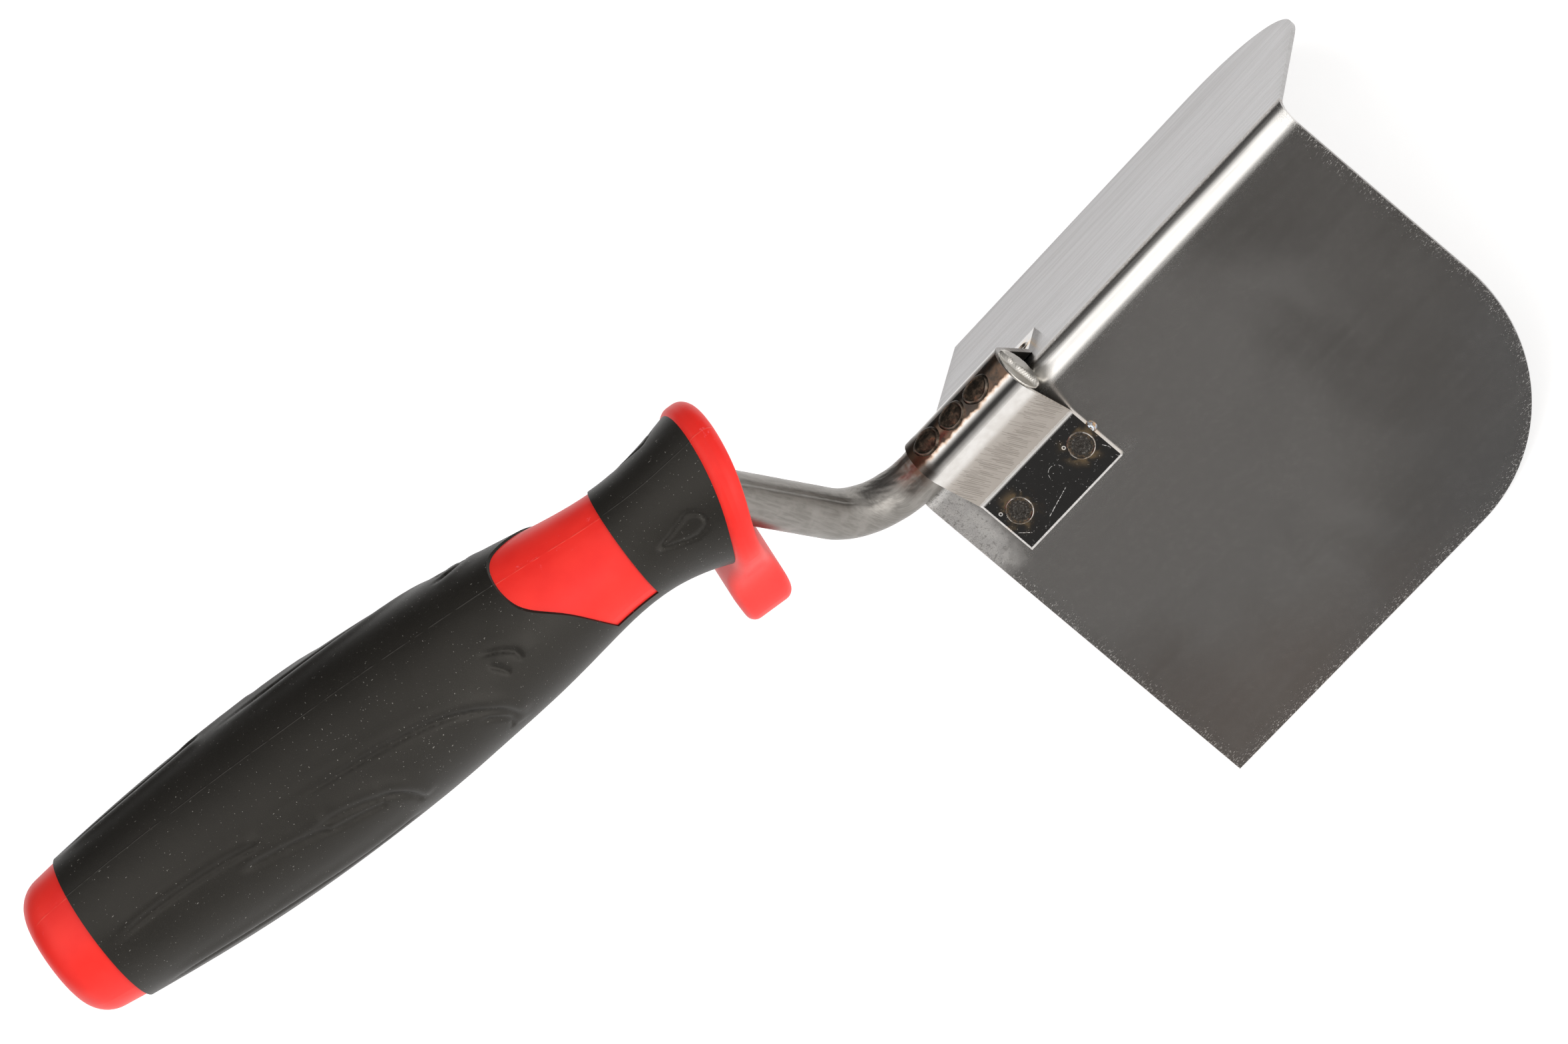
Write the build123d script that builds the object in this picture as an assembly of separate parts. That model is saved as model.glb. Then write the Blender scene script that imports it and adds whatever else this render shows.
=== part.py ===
"""Corner trowel with a folded blade, a strapped and welded steel shank and a two-material handle.

Drawing frame, in millimetres: X runs along the fold from the heel to the toe, Y runs across the
tool, and Z points up to the handle.  The drawing origin is the sharp outer corner of the fold at
the heel.  The tool is symmetric about the XZ plane.  At the end every piece is shifted, so that
the origin lies at the centre of the footprint, level with the lower edges of the flanges.
"""

from math import acos, asin, atan2, cos, hypot, radians, sin, sqrt, tan
import os

from build123d import *

# ---------------------------------------------------------------- blade
BLADE_LENGTH = 80.0         # heel to toe, along the fold
FLANGE_WIDTH = 63.5         # each flange, from the sharp outer corner of the fold
BLADE_SHEET = 0.7           # stainless sheet
FOLD_RADIUS = 4.0           # outside radius of the right-angle fold
TOE_CORNER_RADIUS = 27.0    # rounded outer corner of each flange at the toe

# ---------------------------------------------------------------- shank
ROD_DIAMETER = 7.5
ROD_TIP_X = 25.9            # front end of the rod, just past the strap
ROD_LEAN = 6.0              # degrees that the riser leans back from upright
RISER_FOOT_X = -6.5         # where the riser's line meets the level line of the rod
ELBOW_RADIUS = 11.3         # centreline radius of the bend at the heel
TANG_BEND_RADIUS = 8.0      # centreline radius of the bend inside the handle
TANG_END = 72.0             # end of the tang, along the handle from its neck
TANG_FLAT_LENGTH = 14.0     # pressed flats that keep the handle from turning
TANG_FLAT_THICKNESS = 5.6
TIP_BEVEL_ANGLE = 28.0      # ground slope on the upper half of the rod's front end
TIP_BEVEL_HEIGHT = 0.4      # height of the slope's lower edge above the rod's axis

# ---------------------------------------------------------------- strap
STRAP_SHEET = 0.7
STRAP_HEEL_X = 5.5
STRAP_TOE_X = 25.5
WING_CREASE = 8.6           # distance of the crease from the sharp corner, along the flange
WING_EDGE = 18.4            # distance of the wing's outer edge, along the flange
CREASE_RADIUS = 0.9         # outside radius where the web turns into the wing

# ---------------------------------------------------------------- welds
PLUG_WELD_X = {"heel": 9.2, "middle": 14.7, "toe": 20.1}
PLUG_WELD_LENGTH = 5.0
PLUG_WELD_WIDTH = 3.9
PLUG_WELD_RISE = 0.3        # how far the weld metal stands above the strap
SPOT_WELD_X = (8.9, 22.6)
SPOT_WELD_ALONG_FLANGE = 13.0
SPOT_WELD_RADIUS = 2.15
SPOT_WELD_RIM = 0.3         # width of the raised ring that the electrode leaves
SPOT_WELD_RISE = 0.12       # height of that ring above the wing
SPOT_WELD_DISH = 0.12       # depth of the pressed centre below the wing
TACK_WELD_ALONG_FLANGE = 12.3
TACK_WELD_RADIUS = 0.9

# ---------------------------------------------------------------- handle
# Handle frame: origin on the axis at the neck, "along" runs to the butt, "up" is square to it.
NECK_X = -23.3
NECK_Z = 43.4
HANDLE_PITCH = 18.5         # degrees that the axis rises towards the butt
GRIP_END = 92.4             # where the soft grip stops and the bare butt begins
BUTT_END = 100.9
BUTT_EDGE_RADIUS = 5.0
GRIP_THICKNESS = 2.4

# Outer form of the grip at evenly spaced stations: (half width, half height, centre above the axis)
STATION_PITCH = 12.0
FIRST_STATION = -24.0
GRIP_STATIONS = (
    (12.3, 12.3, -1.2),
    (11.1, 10.9, -1.0),
    (9.1, 9.3, -0.1),
    (10.6, 10.8, -0.1),
    (12.45, 12.0, -0.1),
    (13.75, 12.8, -0.1),
    (14.45, 13.2, -0.1),
    (14.6, 13.3, -0.1),
    (14.15, 13.1, -0.1),
    (13.1, 12.45, -0.1),
    (11.7, 11.4, -0.1),
)
BUTT_START_SIZE = (11.7, 11.3)      # half width and half height of the bare butt beside the grip
BUTT_END_SIZE = (10.6, 10.2)        # the same at its end, before the edge is rounded

# Guard: the rim round the handle's front end, with a finger stop below.
RIM_RADIUS = 12.7
RIM_CENTRE = -1.2           # centre of the rim, measured up from the axis
STOP_RADIUS = 8.2
STOP_CENTRE = -21.5         # centre of the finger stop's round end, measured up from the axis
NECK_INSET = 1.5            # how far the sides draw in between the rim and the stop
GUARD_EDGE_RADIUS = 1.6
GUARD_SKIN = 2.2            # hard plastic in front of the grip's front end
GUARD_REACH = 40.0          # blank length that the side profile is cut from
# Side profile of the guard, as (along, up) points of its front face, from the top down.
GUARD_FRONT = (
    (-23.0, 14.5),
    (-20.2, 7.0),
    (-17.3, 0.0),
    (-16.1, -9.0),
    (-15.5, -20.0),
    (-14.5, -25.5),
    (-12.4, -31.0),
)
# The same for its rear face, from the bottom up.
GUARD_REAR = (
    (-5.8, -31.0),
    (-7.2, -20.0),
    (-8.4, -13.0),
    (-11.0, -7.5),
    (-13.3, 0.0),
    (-16.2, 8.0),
    (-18.8, 14.5),
)

# Window where the hard core shows through the grip: side profile as (along, up) points.
WINDOW_RECESS = 0.3         # how far the core lies below the grip's surface there
WINDOW_FRONT = -0.8
WINDOW_SILL = -1.9
WINDOW_SILL_END = 6.6
WINDOW_REAR = ((8.4, 2.8), (10.9, 6.3), (14.0, 8.7), (16.2, 10.4), (17.2, 12.0))
WINDOW_TOP = 16.0

TOLERANCE = 0.01            # for picking out vertices and edges by where they are

ROD_RADIUS = ROD_DIAMETER / 2
FOLD_CREST_Z = -FOLD_RADIUS * (sqrt(2) - 1)     # highest line of the folded blade
ROD_AXIS_Z = FOLD_CREST_Z + ROD_RADIUS          # the rod lies along the fold
STRAP_OUTER_RADIUS = ROD_RADIUS + STRAP_SHEET

HANDLE_ALONG = Vector(-cos(radians(HANDLE_PITCH)), 0, sin(radians(HANDLE_PITCH)))
HANDLE_UP = Vector(sin(radians(HANDLE_PITCH)), 0, cos(radians(HANDLE_PITCH)))
HANDLE_FRAME = Plane(origin=(NECK_X, 0, NECK_Z), x_dir=HANDLE_ALONG, z_dir=HANDLE_UP)


def flange_point(distance, height=0.0, side=-1):
    """Y and Z of a point on a flange, measured from the fold, and raised off its outer face."""
    return (side * (distance + height) / sqrt(2), (height - distance) / sqrt(2))


def flange_frame(x, distance, side):
    """Plane on a flange's outer face, with its normal pointing out of the face."""
    y, z = flange_point(distance, 0.0, side)
    return Plane(origin=(x, y, z), x_dir=(1, 0, 0), z_dir=(0, side, 1))


# ---------------------------------------------------------------- steel pieces
def make_blade():
    """One sheet, folded at a right angle, with round outer corners at the toe."""
    outline = [
        flange_point(FLANGE_WIDTH, 0.0, -1),
        (0.0, 0.0),
        flange_point(FLANGE_WIDTH, 0.0, 1),
        flange_point(FLANGE_WIDTH, -BLADE_SHEET, 1),
        (0.0, -BLADE_SHEET * sqrt(2)),
        flange_point(FLANGE_WIDTH, -BLADE_SHEET, -1),
    ]
    section = make_face(Polyline(*outline, close=True))
    root, crest = section.vertices().filter_by(lambda v: abs(v.X) < TOLERANCE).sort_by(Axis.Y)
    section = fillet(crest, FOLD_RADIUS)
    root = section.vertices().sort_by_distance(root)[0]
    section = fillet(root, FOLD_RADIUS - BLADE_SHEET)
    blade = extrude(Plane.YZ * section, BLADE_LENGTH)
    toe_edges = blade.edges().filter_by_position(Axis.X, BLADE_LENGTH, BLADE_LENGTH)
    corners = toe_edges.filter_by(lambda edge: abs(edge.length - BLADE_SHEET) < TOLERANCE)
    return fillet(corners, TOE_CORNER_RADIUS)


def make_rod_path():
    """Centreline of the shank: along the fold, up the riser, then down the handle's axis."""
    lean = radians(ROD_LEAN)
    riser = Vector(-sin(lean), 0, cos(lean))
    foot = Vector(RISER_FOOT_X, 0, ROD_AXIS_Z)
    neck = HANDLE_FRAME.origin
    gap = neck - foot
    turn = riser.X * HANDLE_ALONG.Z - riser.Z * HANDLE_ALONG.X
    rise = (gap.X * HANDLE_ALONG.Z - gap.Z * HANDLE_ALONG.X) / turn
    head = foot + riser * rise
    tip = Vector(ROD_TIP_X, 0, ROD_AXIS_Z)
    end = neck + HANDLE_ALONG * TANG_END
    return FilletPolyline(tip, foot, head, end, radius=[ELBOW_RADIUS, TANG_BEND_RADIUS])


def make_shank():
    """Round rod, bent twice, with a ground front end and a flattened end inside the handle."""
    path = make_rod_path()
    rod = sweep(Plane(origin=path @ 0, z_dir=path % 0) * Circle(ROD_RADIUS), path)
    bevel = Plane(origin=(ROD_TIP_X, 0, ROD_AXIS_Z + TIP_BEVEL_HEIGHT), x_dir=(0, 1, 0), z_dir=(1, 0, 0))
    bevel = bevel.rotated((TIP_BEVEL_ANGLE, 0, 0))
    rod -= extrude(bevel * Rectangle(3 * ROD_DIAMETER, 3 * ROD_DIAMETER), ROD_DIAMETER)
    flat = Box(TANG_FLAT_LENGTH, 2 * ROD_DIAMETER, ROD_DIAMETER, align=(Align.MAX, Align.CENTER, Align.MIN))
    for side in (1, -1):
        place = Pos(TANG_END, 0, side * TANG_FLAT_THICKNESS / 2) * Rot(90 - side * 90, 0, 0)
        rod -= HANDLE_FRAME.location * place * flat
    return rod


def make_strap():
    """Sheet strap bent over the rod, with a wing lying flat on each flange."""
    crease = flange_point(WING_CREASE, 0.0, 1)
    reach = hypot(crease[0], crease[1] - ROD_AXIS_Z)
    tangent = atan2(crease[1] - ROD_AXIS_Z, crease[0]) + acos(ROD_RADIUS / reach)

    def on_tube(radius, angle):
        return (radius * cos(angle), ROD_AXIS_Z + radius * sin(angle))

    web_slope = tangent - radians(90)
    wing_slope = radians(-45)
    shift = STRAP_SHEET * tan((wing_slope - web_slope) / 2)
    outer_crease = (
        crease[0] + STRAP_SHEET * cos(tangent) - shift * cos(web_slope),
        crease[1] + STRAP_SHEET * sin(tangent) - shift * sin(web_slope),
    )
    side = [
        Line(on_tube(ROD_RADIUS, tangent), crease),
        Line(crease, flange_point(WING_EDGE, 0.0, 1)),
        Line(flange_point(WING_EDGE, 0.0, 1), flange_point(WING_EDGE, STRAP_SHEET, 1)),
        Line(flange_point(WING_EDGE, STRAP_SHEET, 1), outer_crease),
        Line(outer_crease, on_tube(STRAP_OUTER_RADIUS, tangent)),
    ]
    other_side = [mirror(line, about=Plane.YZ) for line in side]
    crown = [
        ThreePointArc(
            on_tube(radius, tangent), (0, ROD_AXIS_Z + radius), on_tube(radius, radians(180) - tangent)
        )
        for radius in (ROD_RADIUS, STRAP_OUTER_RADIUS)
    ]
    section = make_face(Curve() + side + other_side + crown)
    inner, outer = [], []
    for vertex in section.vertices():
        if hypot(abs(vertex.X) - crease[0], vertex.Y - crease[1]) < TOLERANCE:
            inner.append(vertex)
        if hypot(abs(vertex.X) - outer_crease[0], vertex.Y - outer_crease[1]) < TOLERANCE:
            outer.append(vertex)
    section = fillet(inner, CREASE_RADIUS + STRAP_SHEET)
    outer = [section.vertices().sort_by_distance(vertex)[0] for vertex in outer]
    section = fillet(outer, CREASE_RADIUS)
    return extrude(Plane.YZ.offset(STRAP_HEEL_X) * section, STRAP_TOE_X - STRAP_HEEL_X)


# ---------------------------------------------------------------- weld metal
def make_plug_weld(x, rod):
    """Oval of weld metal that fills a slot in the strap's crown and bites on the rod."""
    outer_radius = STRAP_OUTER_RADIUS + PLUG_WELD_RISE
    slot = Pos(x, 0, ROD_AXIS_Z) * Ellipse(PLUG_WELD_LENGTH / 2, PLUG_WELD_WIDTH / 2)
    column = extrude(slot, outer_radius)
    skin = Pos(x, 0, ROD_AXIS_Z) * Rot(0, 90, 0) * Cylinder(outer_radius, PLUG_WELD_LENGTH)
    return (column & skin) - rod


def make_spot_weld(x, side):
    """Pressed disc where a wing is spot welded to the flange: a raised ring round a dished centre."""
    ring = SPOT_WELD_RADIUS - SPOT_WELD_RIM
    profile = [
        (0, 0),
        (SPOT_WELD_RADIUS, 0),
        (SPOT_WELD_RADIUS, STRAP_SHEET),
        (ring + SPOT_WELD_RIM / 2, STRAP_SHEET + SPOT_WELD_RISE),
        (ring, STRAP_SHEET - SPOT_WELD_DISH),
        (0, STRAP_SHEET - SPOT_WELD_DISH),
    ]
    disc = revolve(Plane.XZ * make_face(Polyline(*profile, close=True)), Axis.Z)
    return flange_frame(x, SPOT_WELD_ALONG_FLANGE, side).location * disc


def spot_weld_hole(x, side):
    """Space that a spot weld takes in the wing."""
    hole = Cylinder(SPOT_WELD_RADIUS, 2 * STRAP_SHEET, align=(Align.CENTER, Align.CENTER, Align.MIN))
    return flange_frame(x, SPOT_WELD_ALONG_FLANGE, side).location * hole


def make_tack_weld():
    """Small bead where the toe edge of one wing is tacked to the flange."""
    size = 2 * TACK_WELD_RADIUS
    quarter = Sphere(TACK_WELD_RADIUS) & Box(size, size, size, align=(Align.MIN, Align.CENTER, Align.MIN))
    return flange_frame(STRAP_TOE_X, TACK_WELD_ALONG_FLANGE, -1).location * quarter


# ---------------------------------------------------------------- handle
def side_prism(outline, half_width=30.0):
    """Solid that has a closed (along, up) outline as its side view, in the handle frame."""
    return extrude(Plane.XZ.offset(-half_width) * make_face(outline), 2 * half_width)


def oval(along, half_width, half_height, centre=0.0):
    """Oval section square to the handle's axis."""
    plane = Plane(origin=(along, 0, centre), x_dir=(0, 1, 0), z_dir=(1, 0, 0))
    return plane * Ellipse(half_width, half_height)


def lofted_form(shrink=0.0):
    """Outer form of the grip, or the same form made smaller all round."""
    sections = []
    for index, (half_width, half_height, centre) in enumerate(GRIP_STATIONS):
        along = FIRST_STATION + index * STATION_PITCH
        sections.append(oval(along, half_width - shrink, half_height - shrink, centre))
    return loft(sections)


def guard_outline():
    """Front view of the guard: a round rim and a round-ended stop, joined by hollow sides."""
    slope = asin((RIM_RADIUS - STOP_RADIUS) / (RIM_CENTRE - STOP_CENTRE))
    rim_end = (RIM_RADIUS * cos(slope), RIM_CENTRE - RIM_RADIUS * sin(slope))
    stop_end = (STOP_RADIUS * cos(slope), STOP_CENTRE - STOP_RADIUS * sin(slope))
    other_rim_end = (-rim_end[0], rim_end[1])
    other_stop_end = (-stop_end[0], stop_end[1])
    neck = ((rim_end[0] + stop_end[0]) / 2 - NECK_INSET, (rim_end[1] + stop_end[1]) / 2)
    other_neck = (-neck[0], neck[1])
    down, other_up = (-sin(slope), -cos(slope)), (-sin(slope), cos(slope))
    edges = [
        ThreePointArc(other_rim_end, (0, RIM_CENTRE + RIM_RADIUS), rim_end),
        Spline(rim_end, neck, stop_end, tangents=(down, down)),
        ThreePointArc(stop_end, (0, STOP_CENTRE - STOP_RADIUS), other_stop_end),
        Spline(other_stop_end, other_neck, other_rim_end, tangents=(other_up, other_up)),
    ]
    return make_face(Curve() + edges)


def make_guard():
    """Slanted rim and finger stop: the side profile crossed with the front outline."""
    front = Spline(*GUARD_FRONT)
    rear = Spline(*GUARD_REAR)
    profile = side_prism(Curve() + [front, Line(front @ 1, rear @ 0), rear, Line(rear @ 1, front @ 0)])
    plane = Plane(origin=(-GUARD_REACH, 0, 0), x_dir=(0, 1, 0), z_dir=(1, 0, 0))
    guard = profile & extrude(plane * guard_outline(), GUARD_REACH)
    rims = guard.edges().filter_by(GeomType.LINE, reverse=True)
    return fillet(rims, GUARD_EDGE_RADIUS)


def make_grip_length():
    """Everything from just inside the guard's front face back to the end of the grip."""
    front = Spline(*[(along + GUARD_SKIN, up) for along, up in GUARD_FRONT])
    low = (GRIP_END, GUARD_FRONT[-1][1])
    high = (GRIP_END, GUARD_FRONT[0][1])
    return side_prism(Curve() + [front, Line(front @ 1, low), Line(low, high), Line(high, front @ 0)])


def make_window_prism():
    """Side profile of the window, open at the top, where the core shows."""
    front_sill = (WINDOW_FRONT, WINDOW_SILL)
    rear_sill = (WINDOW_SILL_END, WINDOW_SILL)
    rear_top = (WINDOW_REAR[-1][0], WINDOW_TOP)
    front_top = (WINDOW_FRONT, WINDOW_TOP)
    edges = [
        Line(front_sill, rear_sill),
        Spline(rear_sill, *WINDOW_REAR),
        Line(WINDOW_REAR[-1], rear_top),
        Line(rear_top, front_top),
        Line(front_top, front_sill),
    ]
    return side_prism(Curve() + edges)


def make_butt():
    """Bare end of the core, a little thinner than the grip, with a rounded end."""
    butt = loft([oval(GRIP_END, *BUTT_START_SIZE), oval(BUTT_END, *BUTT_END_SIZE)])
    return fillet(butt.edges().sort_by(Axis.X)[-1], BUTT_EDGE_RADIUS)


def make_handle(shank):
    """Hard core moulded on the tang, and the soft grip moulded on the core."""
    grip_length = make_grip_length()
    form = lofted_form() & grip_length
    hidden_core = lofted_form(GRIP_THICKNESS) & grip_length
    window_prism = make_window_prism()
    window = lofted_form(WINDOW_RECESS) & grip_length & window_prism
    core = hidden_core + window + make_guard() + make_butt()
    grip = form - window_prism - core
    core = HANDLE_FRAME.location * core - shank
    return core, HANDLE_FRAME.location * grip


# ---------------------------------------------------------------- assembly
def make_pieces():
    """All the pieces by node name, in the drawing frame."""
    shank = make_shank()
    strap = make_strap()
    core, grip = make_handle(shank)
    pieces = {"blade": make_blade(), "shank": shank, "handle_core": core, "handle_grip": grip}
    for place, x in PLUG_WELD_X.items():
        weld = make_plug_weld(x, shank)
        pieces[f"plug_weld_{place}"] = weld
        strap -= weld
    for name, side in (("right", -1), ("left", 1)):
        pieces[f"{name}_spot_welds"] = Compound([make_spot_weld(x, side) for x in SPOT_WELD_X])
        for x in SPOT_WELD_X:
            strap -= spot_weld_hole(x, side)
    pieces["strap"] = strap
    pieces["tack_weld"] = make_tack_weld()
    return pieces


def main():
    pieces = make_pieces()
    box = Compound(list(pieces.values())).bounding_box()
    to_footprint = Pos(-(box.min.X + box.max.X) / 2, 0, -box.min.Z)
    os.makedirs("parts", exist_ok=True)
    for name, piece in pieces.items():
        export_step(to_footprint * piece, f"parts/{name}.step")
    print("drawing origin in the finished frame:", to_footprint.position)


main()
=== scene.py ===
"""Looks of a corner trowel: polished folded blade, welded strap and rod, two-colour moulded handle."""

import math
import operator

import bmesh
import bpy
import numpy as np
from mathutils import Matrix, Vector, noise


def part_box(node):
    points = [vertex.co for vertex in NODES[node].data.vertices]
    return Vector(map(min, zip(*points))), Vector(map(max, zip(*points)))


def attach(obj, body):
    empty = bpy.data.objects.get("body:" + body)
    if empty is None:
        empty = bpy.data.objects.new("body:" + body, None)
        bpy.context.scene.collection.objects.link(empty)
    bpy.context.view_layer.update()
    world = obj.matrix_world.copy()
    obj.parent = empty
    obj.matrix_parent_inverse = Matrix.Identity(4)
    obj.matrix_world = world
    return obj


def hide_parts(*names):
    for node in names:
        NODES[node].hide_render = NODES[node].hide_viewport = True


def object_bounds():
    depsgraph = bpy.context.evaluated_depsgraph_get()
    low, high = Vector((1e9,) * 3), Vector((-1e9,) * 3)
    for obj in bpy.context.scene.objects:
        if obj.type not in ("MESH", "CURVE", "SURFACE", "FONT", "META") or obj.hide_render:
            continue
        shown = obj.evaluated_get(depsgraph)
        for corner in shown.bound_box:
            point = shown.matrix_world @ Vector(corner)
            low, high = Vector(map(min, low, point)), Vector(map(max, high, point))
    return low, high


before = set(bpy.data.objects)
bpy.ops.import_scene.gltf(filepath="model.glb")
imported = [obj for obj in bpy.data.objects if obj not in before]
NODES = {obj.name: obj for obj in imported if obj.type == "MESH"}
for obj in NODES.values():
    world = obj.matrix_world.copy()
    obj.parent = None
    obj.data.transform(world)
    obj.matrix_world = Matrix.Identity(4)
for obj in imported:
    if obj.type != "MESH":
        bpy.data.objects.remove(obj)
CAD_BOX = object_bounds()
MM = 0.001

# ---------------------------------------------------------------- places, in metres
FOLD_RADIUS = 4.0 * MM
BLADE_LOW, BLADE_HIGH = (Vector(corner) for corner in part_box("blade"))
STRAP_HIGH = Vector(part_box("strap")[1])
SHANK_HIGH = Vector(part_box("shank")[1])
# Sharp outer corner of the fold, at the heel.
CORNER = Vector((BLADE_LOW.x, 0, BLADE_HIGH.z + FOLD_RADIUS * (math.sqrt(2) - 1)))
ROD_RADIUS = SHANK_HIGH.y
ROD_AXIS_Z = BLADE_HIGH.z + ROD_RADIUS
TUBE_RADIUS = STRAP_HIGH.z - ROD_AXIS_Z

# Handle axis: origin at the neck, ALONG runs to the butt, UP is square to it.
HANDLE_PITCH = math.radians(18.5)
NECK = CORNER + Vector((-23.3, 0, 43.4)) * MM
ALONG = Vector((-math.cos(HANDLE_PITCH), 0, math.sin(HANDLE_PITCH)))
UP = Vector((math.sin(HANDLE_PITCH), 0, math.cos(HANDLE_PITCH)))

# ---------------------------------------------------------------- camera, light and floor
LENS = 171.55
SENSOR = 36.0
VIEW_AZIMUTH = math.radians(122.213)
VIEW_ELEVATION = math.radians(-49.441)
VIEW_ROLL = math.radians(-72.545)
VIEW_DISTANCE = 1.087
AIM_FROM_CENTRE = Vector((5.66, 5.83, -8.95)) * MM
FLOOR_REACH = 1.2
FLOOR_DROP = 0.0002          # gap that keeps the floor off the blade's edges


def make_camera():
    """Camera at the viewing angle of the product picture."""
    look = Vector((
        math.cos(VIEW_ELEVATION) * math.cos(VIEW_AZIMUTH),
        math.cos(VIEW_ELEVATION) * math.sin(VIEW_AZIMUTH),
        math.sin(VIEW_ELEVATION),
    ))
    level = look.cross(Vector((0, 0, 1))).normalized()
    upright = level.cross(look)
    right = level * math.cos(VIEW_ROLL) + upright * math.sin(VIEW_ROLL)
    top = upright * math.cos(VIEW_ROLL) - level * math.sin(VIEW_ROLL)
    centre = (Vector(CAD_BOX[0]) + Vector(CAD_BOX[1])) / 2
    place = centre + AIM_FROM_CENTRE - look * VIEW_DISTANCE
    camera = bpy.data.objects.new("camera", bpy.data.cameras.new("camera"))
    camera.data.lens = LENS
    camera.data.sensor_width = SENSOR
    camera.data.clip_start = 0.01
    turn = Matrix((right, top, -look)).transposed().to_4x4()
    camera.matrix_world = Matrix.Translation(place) @ turn
    bpy.context.scene.collection.objects.link(camera)
    bpy.context.scene.camera = camera


class Shader:
    """Short forms for building a node material or a world."""

    def __init__(self, owner):
        owner.use_nodes = True
        self.tree = owner.node_tree
        self.tree.nodes.clear()

    def node(self, kind, inputs=None, **settings):
        made = self.tree.nodes.new(kind)
        for key, value in settings.items():
            setattr(made, key, value)
        for key, value in (inputs or {}).items():
            self.put(made.inputs[key], value)
        return made

    def put(self, socket, value):
        if isinstance(value, bpy.types.NodeSocket):
            self.tree.links.new(value, socket)
        elif isinstance(value, tuple) and socket.type == "RGBA":
            socket.default_value = (*value, 1.0)
        else:
            socket.default_value = value

    def math(self, operation, *values):
        return self.node("ShaderNodeMath", dict(enumerate(values)), operation=operation).outputs[0]

    def vector_math(self, operation, inputs):
        return self.node("ShaderNodeVectorMath", inputs, operation=operation).outputs[0]

    def length(self, x, y):
        return self.math("SQRT", self.add(self.times(x, x), self.times(y, y)))

    def centred(self, value):
        """A noise value moved to lie about 0."""
        return self.math("SUBTRACT", value, 0.5)

    def step(self, value, low, high):
        """0 below low, 1 above high, smooth between. low may be the larger of the two."""
        inputs = {"Value": value, "From Min": low, "From Max": high}
        return self.node("ShaderNodeMapRange", inputs, interpolation_type="SMOOTHSTEP").outputs[0]

    def band(self, value, low, high, soft):
        """1 between low and high, 0 outside, with soft edges."""
        less = self.times(soft, -1.0)
        rise = self.step(value, self.add(low, less), self.add(low, soft))
        return self.times(rise, self.step(value, self.add(high, soft), self.add(high, less)))

    def noise(self, vector, scale, detail=2.0, roughness=0.5, distortion=0.0):
        inputs = {"Vector": vector, "Scale": scale, "Detail": detail, "Roughness": roughness}
        return self.node("ShaderNodeTexNoise", {**inputs, "Distortion": distortion}).outputs[0]

    def vector(self, x, y, z):
        return self.node("ShaderNodeCombineXYZ", {"X": x, "Y": y, "Z": z}).outputs[0]

    def split(self, vector):
        return tuple(self.node("ShaderNodeSeparateXYZ", {0: vector}).outputs)

    def mix(self, factor, first, second):
        made = self.node("ShaderNodeMix", data_type="RGBA", clamp_factor=True)
        self.put(made.inputs[0], factor)
        self.put(made.inputs[6], first)
        self.put(made.inputs[7], second)
        return made.outputs[2]

    def blend(self, factor, first, second):
        """The same as mix, for plain numbers."""
        inputs = {"Value": factor, "To Min": first, "To Max": second}
        return self.node("ShaderNodeMapRange", inputs).outputs[0]

    def join(self, operation, combine, values):
        """Plain numbers are combined here; sockets get one math node for each."""
        total = values[0]
        for value in values[1:]:
            plain = isinstance(total, (int, float)) and isinstance(value, (int, float))
            total = combine(total, value) if plain else self.math(operation, total, value)
        return total

    def coats(self, tone, *coats):
        """Colour after each (amount, colour) coat is laid over it in turn."""
        for amount, colour in coats:
            tone = self.mix(amount, tone, colour)
        return tone

    def largest(self, *values):
        return self.join("MAXIMUM", max, values)

    def add(self, *values):
        return self.join("ADD", operator.add, values)

    def times(self, *values):
        return self.join("MULTIPLY", operator.mul, values)

    def place(self):
        """Millimetres from the fold's corner: the vector, then its three parts."""
        where = self.node("ShaderNodeTexCoord").outputs["Object"]
        shifted = self.vector_math("SUBTRACT", {0: where, 1: tuple(CORNER)})
        made = self.vector_math("SCALE", {0: shifted, "Scale": 1 / MM})
        return (made, *self.split(made))

    def bump(self, height):
        """Normal from a height in millimetres."""
        inputs = {"Height": height, "Strength": 1.0, "Distance": MM}
        return self.node("ShaderNodeBump", inputs).outputs[0]

    def surface(self, **inputs):
        sockets = {key.replace("_", " "): value for key, value in inputs.items()}
        shader = self.node("ShaderNodeBsdfPrincipled", sockets)
        self.node("ShaderNodeOutputMaterial", {"Surface": shader.outputs[0]})


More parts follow.
